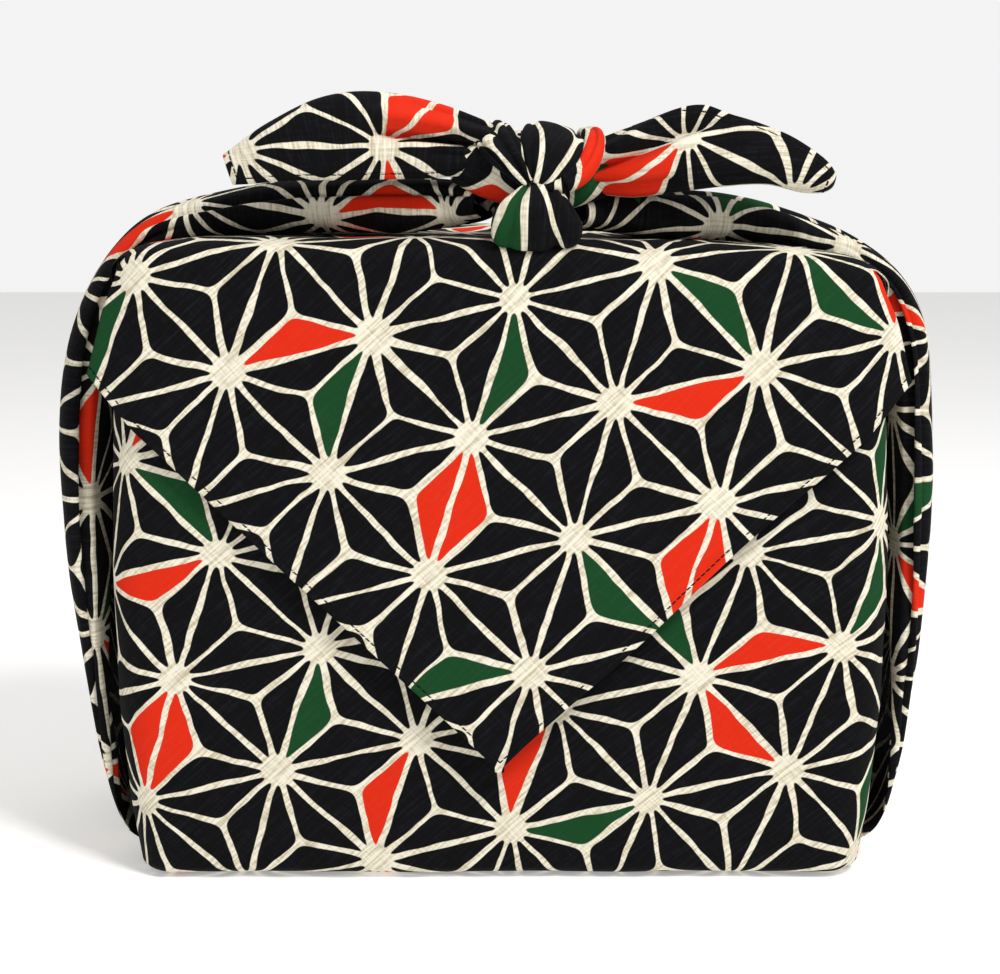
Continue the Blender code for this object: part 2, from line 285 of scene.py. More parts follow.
def makeWalls():
    bpy.ops.object.select_all(action="DESELECT")
    bpy.ops.mesh.primitive_cube_add(size=2)
    piece = bpy.context.object
    piece.name = "bodyCloth"
    piece.data.name = "bodyCloth"
    shape = bmesh.new()
    shape.from_mesh(piece.data)
    bmesh.ops.subdivide_edges(shape, edges=shape.edges, cuts=walls["cuts"], use_grid_fill=True)
    for vert in shape.verts:
        vert.co = Vector(
            (
                spreadLines(vert.co.x, wallWidth, bundle["edgeRound"]),
                spreadLines(vert.co.y, wallDepth, bundle["edgeRound"]),
                0.5 * wallHeight + spreadLines(vert.co.z, 0.5 * wallHeight, bundle["baseRound"]),
            )
        )
    middle, reach, drop = walls["notch"]
    for slope in (-1, 1):  # the gap's two slanting sides, clean across the grid
        bmesh.ops.bisect_plane(
            shape,
            geom=shape.verts[:] + shape.edges[:] + shape.faces[:],
            plane_co=(0, middle, wallHeight - drop - reach),
            plane_no=(0, slope, -1),
            dist=0.001,
        )
    unwanted = []
    for face in shape.faces:
        at = face.calc_center_median()
        inLid = at.z > wallHeight - 0.1 and at.y > walls["underflapEnd"]
        below = wallHeight - drop - at.z
        inGap = abs(at.x) > wallWidth - 0.1 and abs(at.y - middle) + below < reach
        if inLid or inGap:
            unwanted.append(face)
    bmesh.ops.delete(shape, geom=unwanted, context="FACES")
    layer = shape.loops.layers.uv.new("clothMetres")
    for face in shape.faces:
        at = face.calc_center_median()
        for loop in face.loops:
            x, y, z = loop.vert.co
            if at.z < 0.1:  # base
                loop[layer].uv = bodyPrint(x, y + 0.5 * walls["backStart"] * wallDepth)
            elif at.z > wallHeight - 0.1:  # first corner, folded over the lid
                loop[layer].uv = bodyPrint(x, -frontArc[-1] - (y + wallDepth))
            elif abs(at.x) > wallWidth - 0.1:  # ends, half from the front and half from the back
                side = math.copysign(1, at.x)
                if at.y < 0:
                    loop[layer].uv = bodyPrint(side * (wallWidth + y + wallDepth), -z)
                else:
                    loop[layer].uv = bodyPrint(side * (wallWidth + wallDepth - y), walls["backStart"] * wallDepth + z)
            elif at.y < 0:
                loop[layer].uv = bodyPrint(x, -frontArc[min(arcSteps, int(z))] - (z % 1))
            else:
                loop[layer].uv = bodyPrint(x, walls["backStart"] * wallDepth + z)
    for vert in shape.verts:
        x, y, z = vert.co
        vert.co = onBundle(vert.co, 0.0)
        if y < -wallDepth + 1:
            vert.co.y += creaseDepth(walls["creases"], x, z)
    bmesh.ops.scale(shape, vec=(mm, mm, mm), verts=shape.verts)
    shape.to_mesh(piece.data)
    shape.free()
    for attributeName in ("hemDistance", "hemRun"):
        attribute = piece.data.attributes.new(attributeName, "FLOAT", "POINT")
        attribute.data.foreach_set("value", [cloth["noHem"]] * len(piece.data.vertices))
    finishSheet(piece, lambda face: Vector((0, 0, 130 * mm)))
    return piece


flap = {
    "drop": 221,
    "corner": (55, 11),  # height drop and reach of the corners that stand off at the sides
    "cornerTurn": 20,
    "tip": 2,
    "lift": 6,
    "sideDrop": 44,
    "backSeat": 34,
    "edgeSteps": (0, 0.9, 1.8, 2.7, 3.6, 4.6, 6.5, 10),  # distances from the hem with grid lines of their own
    "columns": 70,
    # soft troughs: from x, down to x, down, depth, width
    "creases": (
        (-120, 10, -40, 46, 0.7, 12),
        (110, 8, 60, 60, 0.8, 12),
        (20, 2, 12, 40, 0.8, 9),
        (100, 96, 60, 66, 0.9, 8),
        (-90, 96, -50, 70, 0.6, 9),
    ),
}


def flapRows():
    lidEnd = 2 * bundle["halfDepth"]
    rows = [-lidEnd - flap["backSeat"] + 4 * k for k in range(9)]
    at = -lidEnd
    while at < -20:
        rows.append(at)
        at += 3
    while at < 30:
        rows.append(at)
        at += 1.3
    while at < flap["drop"] - 8:
        rows.append(at)
        at += 2.2
    while at < flap["drop"] - 0.5:
        rows.append(at)
        at += 0.9
    rows.append(flap["drop"])
    return rows


def flapHalf(down):
    if down >= 0:
        cornerDrop, reach = flap["corner"]
        side = bundle["halfWidth"] + reach * min(1.0, down / cornerDrop)
        return max(flap["tip"], min(side, flap["drop"] - down))
    fromBack = 2 * bundle["halfDepth"] + down
    return bundle["halfWidth"] + max(0.0, min(-down, flap["sideDrop"], 0.85 * (fromBack - 22)))


def flapPoint(down, across):
    off = bundle["layerGap"]
    width, depth, height = wallWidth + off, wallDepth + off, wallHeight + off
    beyond = max(0.0, abs(across) - width)
    x = math.copysign(min(abs(across), width), across)
    lidLength = 2 * depth
    if down >= 0:
        flat = Vector((x, -depth + beyond, height - down))
    elif -down <= lidLength:
        flat = Vector((x, -depth - down, height - beyond))
    else:
        flat = Vector((x, depth, height + down + lidLength))
    point = onBundle(flat, off)
    past = abs(across) - (width - bundle["edgeRound"])
    if down > 0 and past > 0:  # the side corners stand off straight instead of lying round the end
        turn = math.radians(flap["cornerTurn"])
        straight = onBundle(Vector((math.copysign(width - bundle["edgeRound"], across), -depth, height - down)), off)
        straight.x += math.copysign(past * math.cos(turn), across)
        straight.y += past * math.sin(turn)
        point = point.lerp(straight, ease(0, 30, down))
    if -down > lidLength:
        point.y -= (off + 0.3) * (-down - lidLength) / flap["backSeat"]
    hanging = max(0.0, down) / flap["drop"]
    lift = flap["lift"] * hanging * hanging
    lift += 1.5 * hanging * math.sin(across / 46 + 0.6)
    point.y -= lift
    if down > 0:
        point.y += creaseDepth(flap["creases"], across, down)
    if -lidLength < down < 0:
        sag = math.cos(0.5 * math.pi * min(1.0, abs(across) / width))
        point.z -= 1.5 * sag * math.sin(math.pi * -down / lidLength)
    return point


def makeFlap():
    points, prints, hems = [], [], []
    for down in flapRows():
        half = flapHalf(down)
        steps = [s for s in flap["edgeSteps"] if s < 0.45 * half]
        inner = half - steps[-1]
        offsets = [half - s for s in steps]
        offsets += [inner * (1 - k / (0.5 * flap["columns"])) for k in range(1, flap["columns"])]
        offsets = [s for s in offsets if s > -inner + 0.001]
        offsets += [-half + s for s in reversed(steps)]
        wanted = 2 * len(flap["edgeSteps"]) + flap["columns"] - 1
        while len(offsets) < wanted:
            offsets.insert(0, offsets[0])
            if len(offsets) < wanted:
                offsets.append(offsets[-1])
        pointRow, printRow, hemRow = [], [], []
        for across in offsets:
            wave = 1.0 * math.sin(down / 13 + 1.2) * ease(30, 60, down) if across > 0.7 * half else 0.0
            shifted = across + wave * ease(0.7 * half, half, across)
            pointRow.append(flapPoint(down, shifted))
            printRow.append(wrappedPrint(flapLie, across, down))
            fromEdge = (flap["drop"] - down - abs(across)) * math.sqrt(0.5)  # above the corners the sides are folds
            hemRow.append((fromEdge, math.sqrt(2) * down))
        points.append(pointRow)
        prints.append(printRow)
        hems.append(hemRow)
    piece = clothGrid("flapCloth", points, prints, hems)
    finishSheet(piece, lambda face: Vector((0, 0, 130 * mm)))
    return piece


def sectionPoints(layout):
    rows, columns = layout["rows"], layout["columns"]
    points, centres = [], []
    for r in range(rows + 1):
        forward = r / rows
        x, y, z, wide, thick, lip = curveThrough(layout["spine"], forward)
        ahead = Vector(curveThrough(layout["spine"], forward + 0.012)[:3])
        behind = Vector(curveThrough(layout["spine"], forward - 0.012)[:3])
        run = (ahead - behind).normalized()
        outward = run.cross(Vector(layout["sideways"])).normalized()
        if layout.get("turnOut"):
            outward = -outward
        sideways = outward.cross(run)
        if sideways.dot(Vector(layout["sideways"])) < 0:
            sideways = -sideways
        centre = Vector((x, y, z))
        pointRow = []
        for c in range(columns + 1):
            around = 2 * c / columns - 1
            angle = around * math.pi * lip
            sine, cosine = math.sin(angle), math.cos(angle)
            over = outward * thick * signedPower(cosine, layout.get("flatness", 0.75))
            over += sideways * wide * signedPower(sine, layout.get("squareness", 0.85))
            normal = (outward * cosine / max(thick, 1) + sideways * sine / max(wide, 1)).normalized()
            deep = 0.0
            for start, end, first, last, depth, width in layout["creases"]:
                strength = ease(first - 0.06, first + 0.06, forward) * (1 - ease(last - 0.06, last + 0.06, forward))
                away = around - blend(start, end, forward)
                deep += depth * strength * hump(away, width)
            deep *= min(1.0, 0.12 * (wide + thick))
            pointRow.append(centre + over - normal * deep)
        points.append(pointRow)
        centres.append(centre)
    return points, centres


def makeGathered(layout):
    points, centres = sectionPoints(layout)
    along = [0.0]
    for behind, ahead in zip(centres, centres[1:]):
        along.append(along[-1] + (ahead - behind).length)
    middle = layout["columns"] // 2
    around = []
    for row in points:
        reach = [0.0] * len(row)
        for c in range(middle + 1, len(row)):
            reach[c] = reach[c - 1] + (row[c] - row[c - 1]).length
        for c in range(middle - 1, -1, -1):
            reach[c] = reach[c + 1] - (row[c + 1] - row[c]).length
        around.append([w - reach[0] for w in reach] if layout.get("printFromHem") else reach)
    star = Vector(layout["print"]["starAt"])  # one star of the print lies at the point nearest to this
    places = [(r, c) for r in range(len(points)) for c in range(len(points[0]))]
    starRow, starColumn = min(places, key=lambda place: (points[place[0]][place[1]] - star).length_squared)
    starReach = around[starRow][starColumn]
    prints, hems = [], []
    for r, reach in enumerate(around):
        fromStar = along[r] - along[starRow]
        rise = layout["print"].get("rise", 0.0) * min(50.0, abs(fromStar))
        past = layout["print"].get("past", 0.0)
        prints.append([printPlace(layout["print"], fromStar - past, w - starReach - rise) for w in reach])
        hemRow = []
        for w in reach:
            fromHem = cloth["noHem"]
            if layout.get("hemmed"):
                fromHem = min(w - reach[0], reach[-1] - w, along[-1] - along[r])
            hemRow.append((fromHem, along[r] + abs(w - reach[middle])))
        hems.append(hemRow)
    piece = clothGrid(layout["name"], points, prints, hems)
    middles = [centre * mm for centre in centres]
    finishSheet(
        piece,
        lambda face: min(middles, key=lambda place: (place - face.calc_center_median()).length_squared),
        slack=layout.get("slack", 1.0),
    )
    print("cloth piece", layout["name"], "runs", round(along[-1]), "mm")
    return piece


strapForward = 44  # how far the straps bear forward, from the ends' middle to the knot


def wingSpine(side, table, forwardBy):
    spine = []
    steps = len(table) - 1
    for index, (out, height, half, thick) in enumerate(table):
        share = index / steps
        ahead = table[min(index + 1, steps)]
        behind = table[max(index - 1, 0)]
        run = Vector((side * (ahead[0] - behind[0]), 0, ahead[1] - behind[1])).normalized()
        outward = Vector((side * run.z, 0, -side * run.x))
        bear = forwardBy * max(0.0, (share - 0.5) / 0.5) ** 1.5
        lip = blend(0.46, 0.85, max(0.0, min(1.0, (share - 0.1) / 0.2)))
        centre = Vector((side * out, -bear, height)) - outward * 0.5 * thick
        spine.append((centre.x, centre.y, centre.z, half, 0.5 * thick, lip))
    return spine


# Wings: (distance out, height, half width, thickness) from the base, over the lid's end, to the knot.
# Creases: (place across at the start, at the end, from, to, depth, width), places as shares of the section.
leftWing = {
    "name": "leftWing",
    "table": (
        (153, 7, 54, 3),
        (165, 17, 59, 6),
        (175, 45, 60, 12),
        (184, 95, 59, 18),
        (191, 150, 56, 23),
        (192, 196, 51, 25),
        (186, 232, 46, 22),
        (171, 262, 40, 18),
        (149, 281, 34, 18),
        (117, 290, 29, 21),
        (84, 295, 25, 24),
        (43, 296, 20, 25),
        (16, 294, 13, 19),
        (4, 291, 8, 12),
    ),
    "rows": 150,
    "columns": 110,
    "sideways": (0, 1, 0),
    "creases": (
        (-0.70, -0.62, 0.12, 0.62, 7.0, 0.045),
        (-0.46, -0.40, 0.60, 0.97, 3.2, 0.06),
        (-0.26, -0.22, 0.38, 0.62, 3.0, 0.05),
        (-0.05, -0.02, 0.34, 1.0, 1.5, 0.06),
        (0.22, 0.16, 0.45, 1.0, 3.0, 0.05),
        (0.52, 0.42, 0.20, 1.0, 4.2, 0.05),
        (0.78, 0.66, 0.15, 0.9, 5.0, 0.05),
    ),
    "print": {"star": (7, 1), "starAt": (-75, -57, 275), "turn": 225, "signs": (1, -1), "rise": 0.2},
}
rightWing = {
    "name": "rightWing",
    "turnOut": True,
    "table": (
        (153, 7, 54, 3),
        (166, 17, 59, 6),
        (176, 45, 60, 12),
        (184, 95, 59, 18),
        (188, 150, 56, 20),
        (188, 196, 51, 21),
        (185, 230, 46, 20),
        (174, 254, 40, 17),
        (154, 270, 34, 17),
        (129, 280, 29, 18),
        (100, 288, 25, 21),
        (68, 291, 21, 23),
        (44, 290, 14, 18),
        (30, 287, 8, 12),
    ),
    "rows": 150,
    "columns": 110,
    "sideways": (0, 1, 0),
    "creases": (
        (-0.74, -0.66, 0.14, 0.60, 6.0, 0.045),
        (-0.50, -0.55, 0.20, 0.62, 3.0, 0.05),
        (-0.30, -0.16, 0.58, 0.96, 2.4, 0.045),
        (0.05, 0.04, 0.36, 1.0, 1.5, 0.06),
        (0.30, 0.22, 0.45, 1.0, 3.0, 0.05),
        (0.55, 0.46, 0.22, 1.0, 4.0, 0.05),
        (0.80, 0.68, 0.15, 0.9, 5.0, 0.05),
    ),
    "print": {"star": (7, 3), "starAt": (93, -55, 271), "turn": 45, "signs": (-1, -1)},
}


def tailSpine(table):
    return [(x, y, 0.5 * (top + bottom), belly, 0.5 * (top - bottom), 0.84) for x, top, bottom, y, belly in table]


# Tails: (x, top, bottom, y, belly). The left one is folded over its top line, with both hems hanging, and the
# right one along its lower line.
leftTail = {
    "name": "leftTail",
    "table": (
        (-2, 317, 297, -47, 9),
        (-26, 326, 294, -48, 13),
        (-50, 331, 293, -50, 14),
        (-70, 329, 292.5, -52, 13.5),
        (-90, 320, 292.5, -54, 11),
        (-103, 312, 292, -55, 7.5),
        (-112, 306, 292, -55, 4),
    ),
    "rows": 90,
    "columns": 90,
    "sideways": (0, 1, 0),
    "turnOut": True,
    "creases": (
        (-0.55, -0.50, -0.1, 0.34, 9.0, 0.06),
        (-0.42, -0.38, -0.1, 0.38, -3.4, 0.09),
        (-0.16, -0.30, 0.0, 0.24, 2.0, 0.05),
        (-0.72, -0.60, 0.0, 0.22, 2.0, 0.05),
        (0.40, 0.36, 0.0, 0.7, 3.0, 0.08),
    ),
    "hemmed": True,
    "printFromHem": True,
    "flatness": 1.0,
    "squareness": 0.6,
    "print": {"star": (0, 5), "starAt": (-48, -64, 309), "turn": 45, "signs": (-1, -1)},
}
rightTail = {
    "name": "rightTail",
    "table": (
        (33, 310, 290, -46, 9),
        (54, 318, 287.5, -48, 13),
        (77, 325, 290.5, -50, 14),
        (96, 323, 292.5, -52, 12.5),
        (113, 316.5, 292.5, -54, 11),
        (127, 308, 289.5, -56, 8.5),
        (134, 302, 289.5, -57, 6.5),
        (137.5, 297.5, 292, -57, 3),
    ),
    "rows": 90,
    "columns": 90,
    "sideways": (0, 1, 0),
    "turnOut": True,
    "creases": (
        (-0.50, -1.50, -0.1, 0.36, 6.0, 0.06),
        (-0.68, -1.65, -0.1, 0.40, -3.2, 0.08),
        (-0.30, -0.20, -0.1, 0.30, 2.4, 0.07),
        (0.34, 0.3, 0.0, 0.8, 3.5, 0.08),
    ),
    "hemmed": True,
    "flatness": 1.0,
    "squareness": 0.75,
    "print": {"star": (4, 5), "starAt": (76, -62, 313), "turn": 135, "signs": (1, 1)},
}

# Knot: (x, y, z, half width, half thickness, share of the section that is closed).
knotLobes = (
    {
        "name": "topLoop",
        "spine": (
            (25, -24, 295, 9, 7, 1),
            (25, -32, 306, 12, 7, 1),
            (23, -46, 311, 14, 7, 1),
            (22, -60, 307, 14, 7, 1),
            (19, -67, 300, 11, 6, 1),
            (15, -69, 293, 4, 4, 1),
        ),
        "sideways": (1, 0, -0.3),
        "creases": (
            (-0.34, -0.20, 0.2, 1.0, 1.6, 0.05),
            (-0.05, 0.0, 0.5, 1.0, 1.2, 0.05),
            (0.22, 0.14, 0.3, 1.0, 1.5, 0.05),
        ),
        "print": {"star": (5, 2), "starAt": (15, -74, 293), "turn": -60, "signs": (1, -1), "past": 8},
    },
    {
        "name": "tailWrap",
        "spine": (
            (-4, -34, 311, 7, 6, 1),
            (-3, -48, 313, 8, 6, 1),
            (0, -59, 309, 8, 5, 1),
            (6, -67, 302, 6, 4, 1),
            (12, -69, 294, 3, 3, 1),
        ),
        "sideways": (1, 0, 0.3),
        "creases": (
            (-0.3, -0.3, 0.0, 1.0, 1.6, 0.05),
            (0.02, 0.0, 0.0, 1.0, 2.0, 0.05),
            (0.28, 0.26, 0.0, 1.0, 1.4, 0.05),
        ),
        "print": {"star": (4, 1), "starAt": (12, -74, 290), "turn": 20, "signs": (1, -1), "past": 10},
    },
    {
        "name": "edgePleat",
        "spine": (
            (36, -38, 313, 4, 4, 1),
            (39, -52, 312, 4.5, 4, 1),
            (38, -62, 306, 4.5, 4, 1),
            (34, -69, 299, 4, 4, 1),
            (27, -71, 294, 3.5, 3.5, 1),
            (18, -70, 291, 2.5, 3, 1),
        ),
        "sideways": (1, 0, 0.4),
        "creases": ((0.1, 0.0, 0.0, 1.0, 1.4, 0.08),),
        "print": {"star": (6, 1), "starAt": (36, -38, 318), "turn": 60, "signs": (1, -1)},
    },
    {
        "name": "lowerLobe",
        "spine": (
            (17, -60, 294, 3.5, 4, 1),
            (16, -71, 288, 11, 6, 1),
            (15, -76, 281, 17.5, 7.5, 1),
            (15, -73, 273.5, 18, 7, 1),
            (16, -60, 271.5, 13, 6, 1),
        ),
        "sideways": (1, 0, 0),
        "creases": (
            (-0.14, -0.22, 0.0, 0.75, 2.2, 0.05),
            (0.12, 0.14, 0.0, 0.9, 2.6, 0.05),
            (0.30, 0.36, 0.0, 0.5, 1.4, 0.05),
        ),
        "print": {"star": (0, 1), "starAt": (14, -72, 291), "turn": 135, "signs": (1, -1), "past": -9},
    },
    {
        "name": "backBight",
        "spine": (
            (60, -38, 281, 8, 8, 1),
            (38, -33, 282, 10, 9, 1),
            (16, -28, 282, 10, 9, 1),
            (0, -24, 287, 9, 9, 1),
            (-4, -24, 298, 9, 9, 1),
            (6, -28, 307, 9, 8, 1),
            (26, -34, 306, 9, 8, 1),
            (42, -43, 303, 8, 8, 1),
        ),
        "sideways": (0, 1, 0),
        "creases": (
            (-0.5, -0.5, 0.0, 1.0, 2.0, 0.05),
            (-0.1, -0.1, 0.0, 1.0, 2.0, 0.05),
            (0.3, 0.3, 0.0, 1.0, 2.0, 0.05),
            (0.7, 0.7, 0.0, 1.0, 2.0, 0.05),
        ),
        "print": {"star": (6, 2), "starAt": (10, -20, 314), "turn": -15, "signs": (1, -1)},
    },
    {
        "name": "heart",  # what the bights close on
        "spine": (
            (-18, -46, 304, 9, 10, 1),
            (0, -48, 300, 13, 14, 1),
            (22, -48, 296, 13, 14, 1),
            (44, -44, 298, 9, 10, 1),
        ),
        "sideways": (0, 1, 0),
        "creases": (
            (-0.3, -0.3, 0.0, 1.0, 2.0, 0.05),
            (0.2, 0.2, 0.0, 1.0, 2.0, 0.05),
        ),
        "print": {"star": (6, 1), "starAt": (2, -40, 314), "turn": 105, "signs": (1, -1)},
    },
)


def makeKnot():
    lobes = []
    for layout in knotLobes:
        layout["rows"] = 46
        layout["columns"] = 60
        layout["slack"] = 0.6
        lobes.append(makeGathered(layout))
    bpy.ops.object.select_all(action="DESELECT")
    for lobe in lobes:
        lobe.select_set(True)
    bpy.context.view_layer.objects.active = lobes[0]
    bpy.ops.object.join()
    knot = bpy.context.object
    knot.name = "knot"
    knot.data.name = "knot"
    return knot


def hexColour(text):
    found = []
    for k in (1, 3, 5):
        value = int(text[k:k + 2], 16) / 255
        found.append(value / 12.92 if value <= 0.04045 else ((value + 0.055) / 1.055) ** 2.4)
    return (*found, 1.0)


def addNode(tree, kind, settings=None, links=None):
    node = tree.nodes.new("ShaderNode" + kind)
    for key, value in (settings or {}).items():
        setattr(node, key, value)
    for key, value in (links or {}).items():
        if isinstance(value, bpy.types.NodeSocket):
            tree.links.new(value, node.inputs[key])
        else:
            node.inputs[key].default_value = value
    return node.outputs[0]


inks = {
    "ground": "#060608",
    "groundFleck": "#1e2128",
    "cream": "#e6e0cd",
    "creamFleck": "#b9ad92",
    "red": "#d2290e",
    "green": "#12401f",
    "thread": "#08080a",
}
printRepeat = (10, 8)  # star steps before the accents come again
# Accents: (star step along the cloth's edge, slanting step, cell of the star, ink).
accents = (
    (1, 5, 5, "red"),
    (2, 5, 0, "green"),
    (3, 5, 3, "red"),
    (3, 5, 0, "red"),
    (2, 6, 3, "green"),
    (2, 0, 2, "green"),
    (3, 7, 1, "red"),
    (2, 0, 4, "green"),
    (2, 1, 0, "red"),
    (4, 6, 3, "red"),
    (4, 6, 0, "red"),
    (4, 5, 4, "green"),
    (4, 4, 5, "green"),
    (1, 4, 0, "green"),
    (5, 0, 3, "red"),
    (6, 0, 2, "green"),
    (7, 7, 1, "red"),
    (8, 6, 0, "red"),
    (8, 6, 3, "red"),
    (8, 7, 3, "green"),
    (9, 7, 0, "red"),
    (9, 0, 0, "red"),
    (0, 0, 1, "green"),
    (8, 2, 5, "red"),
    (9, 1, 4, "red"),
    (8, 2, 2, "green"),
    (7, 4, 0, "green"),
    (8, 3, 3, "green"),
    (0, 2, 0, "green"),
    (9, 5, 5, "red"),
    (1, 2, 1, "red"),
    (0, 6, 4, "red"),
    (5, 3, 1, "green"),
    (6, 5, 5, "red"),
    (3, 3, 2, "green"),
    (4, 2, 4, "red"),
    (5, 6, 0, "green"),
    (0, 4, 2, "red"),
    (0, 5, 1, "red"),
    (8, 4, 4, "red"),
    (0, 4, 0, "red"),
    (6, 0, 4, "red"),
    (8, 1, 2, "red"),
    (7, 3, 1, "green"),
    (6, 2, 5, "red"),
    (6, 3, 5, "green"),
    (7, 2, 1, "red"),
)


def accentRamp(tree, place, pair):  # one steps-only colour band for two star steps
    repeat = 2 * 6 * printRepeat[1]
    band = addNode(tree, "ValToRGB", {}, {"Fac": place})
    ramp = band.node.color_ramp
    ramp.interpolation = "CONSTANT"
    marks = {}
    for along, slant, cell, ink in accents:
        if along // 2 == pair:
            index = (along % 2 * printRepeat[1] + slant) * 6 + cell
            marks[index] = inks[ink]
            marks.setdefault(index + 1, inks["ground"])
    while len(ramp.elements) > 1:
        ramp.elements.remove(ramp.elements[-1])
    ramp.elements[0].position = 0.0
    ramp.elements[0].color = hexColour(inks["ground"])
    for index in sorted(marks):
        stop = ramp.elements.new(index / repeat)
        stop.color = hexColour(marks[index])
    return band


printing = {  # metres of cloth
    "wander": 0.0036,
    "lineWidth": 0.0022,
    "sideBlend": 0.0026,
    "rayBlend": 0.0050,
    "starPatch": 0.0047,
    "patchBlend": 0.0040,
    "inkEdge": (-0.00012, 0.00022),
}
stitching = {"step": 2.8, "share": 0.74, "halfLine": (0.2, 0.45), "hemWidth": (3.8, 4.6)}  # mm


def slubCotton():
    # Slub-weave cotton, screen printed. The uneven yarn gives a matt face with short flecks along both thread
    # directions, and the ink's edges wander a little. Real threads lie about 0.5 mm apart: they are drawn at
    # about 1.3 mm, as the thicker slubs show.
    material = bpy.data.materials.new("printedSlubCotton")
    material.use_nodes = True
    tree = material.node_tree
    shader = tree.nodes["Principled BSDF"]
    pitch = cloth["starPitch"] * mm
    height = pitch * math.sqrt(3) / 2
    flat = addNode(tree, "UVMap", {"uv_map": "clothMetres"})

    wander = addNode(tree, "TexNoise", {}, {"Vector": flat, "Scale": 42.0, "Detail": 2.0}).node.outputs["Color"]
    wander = addNode(tree, "VectorMath", {"operation": "SUBTRACT"}, {0: wander, 1: (0.5, 0.5, 0.5)})
    reach = (printing["wander"], printing["wander"], 0.0)
    wander = addNode(tree, "VectorMath", {"operation": "MULTIPLY"}, {0: wander, 1: reach})
    drawn = addNode(tree, "VectorMath", {"operation": "ADD"}, {0: flat, 1: wander})

    area = edgeAxis.x * slantAxis.y - slantAxis.x * edgeAxis.y
    toEdge = (slantAxis.y / area, -slantAxis.x / area, 0.0)
    toSlant = (-edgeAxis.y / area, edgeAxis.x / area, 0.0)
    s = addNode(tree, "VectorMath", {"operation": "DOT_PRODUCT"}, {0: drawn, 1: toEdge}).node.outputs["Value"]
    t = addNode(tree, "VectorMath", {"operation": "DOT_PRODUCT"}, {0: drawn, 1: toSlant}).node.outputs["Value"]
    sStep = addNode(tree, "Math", {"operation": "FLOOR"}, {0: s})
    tStep = addNode(tree, "Math", {"operation": "FLOOR"}, {0: t})
    sPart = addNode(tree, "Math", {"operation": "SUBTRACT"}, {0: s, 1: sStep})
    tPart = addNode(tree, "Math", {"operation": "SUBTRACT"}, {0: t, 1: tStep})
    both = addNode(tree, "Math", {"operation": "ADD"}, {0: sPart, 1: tPart})
    upper = addNode(tree, "Math", {"operation": "GREATER_THAN"}, {0: both, 1: 1.0})
    short = addNode(tree, "Math", {"operation": "SUBTRACT"}, {0: 1.0, 1: both})
    shift = addNode(tree, "Math", {"operation": "MULTIPLY"}, {0: short, 1: upper})
    # shares of the triangle's three corners
    a = addNode(tree, "Math", {"operation": "ABSOLUTE"}, {0: short})
    b = addNode(tree, "Math", {"operation": "ADD"}, {0: sPart, 1: shift})
    c = addNode(tree, "Math", {"operation": "ADD"}, {0: tPart, 1: shift})
    least = addNode(tree, "Math", {"operation": "MINIMUM"}, {0: a, 1: b})
    least = addNode(tree, "Math", {"operation": "MINIMUM"}, {0: least, 1: c})
    most = addNode(tree, "Math", {"operation": "MAXIMUM"}, {0: a, 1: b})
    most = addNode(tree, "Math", {"operation": "MAXIMUM"}, {0: most, 1: c})
    rest = addNode(tree, "Math", {"operation": "ADD"}, {0: least, 1: most})
    middle = addNode(tree, "Math", {"operation": "SUBTRACT"}, {0: 1.0, 1: rest})

    # distances to the lines between stars and to the lines from each triangle's middle
    toSide = addNode(tree, "Math", {"operation": "MULTIPLY"}, {0: least, 1: height})
    nearRay = addNode(tree, "Math", {"operation": "SUBTRACT"}, {0: middle, 1: least})
    nearRay = addNode(tree, "Math", {"operation": "MULTIPLY"}, {0: nearRay, 1: height / math.sqrt(3)})
    farRay = addNode(tree, "Math", {"operation": "SUBTRACT"}, {0: most, 1: least})
    farRay = addNode(tree, "Math", {"operation": "MULTIPLY"}, {0: farRay, 1: height / math.sqrt(3)})
    gap = addNode(tree, "Math", {"operation": "SMOOTH_MIN"}, {0: toSide, 1: nearRay, 2: printing["sideBlend"]})
    gap = addNode(tree, "Math", {"operation": "SMOOTH_MIN"}, {0: gap, 1: farRay, 2: printing["rayBlend"]})
    lineNoise = addNode(tree, "TexNoise", {}, {"Vector": flat, "Scale": 38.0, "Detail": 1.0})
    lineHalf = addNode(tree, "Math", {"operation": "MULTIPLY_ADD"}, {0: lineNoise, 1: printing["lineWidth"], 2: 0.0})
    gap = addNode(tree, "Math", {"operation": "SUBTRACT"}, {0: gap, 1: lineHalf})
    # the cream patch at each star
    square = addNode(tree, "Math", {"operation": "MULTIPLY"}, {0: middle, 1: middle})
    cross = addNode(tree, "Math", {"operation": "MULTIPLY_ADD"}, {0: middle, 1: least, 2: square})
    fromStar = addNode(tree, "Math", {"operation": "MULTIPLY_ADD"}, {0: least, 1: least, 2: cross})
    fromStar = addNode(tree, "Math", {"operation": "SQRT"}, {0: fromStar})
    patch = -printing["starPatch"]
    fromStar = addNode(tree, "Math", {"operation": "MULTIPLY_ADD"}, {0: fromStar, 1: pitch, 2: patch})
    gap = addNode(tree, "Math", {"operation": "SMOOTH_MIN"}, {0: gap, 1: fromStar, 2: printing["patchBlend"]})
    inked = addNode(
        tree,
        "MapRange",
        {"interpolation_type": "SMOOTHSTEP"},
        {"Value": gap, "From Min": printing["inkEdge"][0], "From Max": printing["inkEdge"][1]},
    )

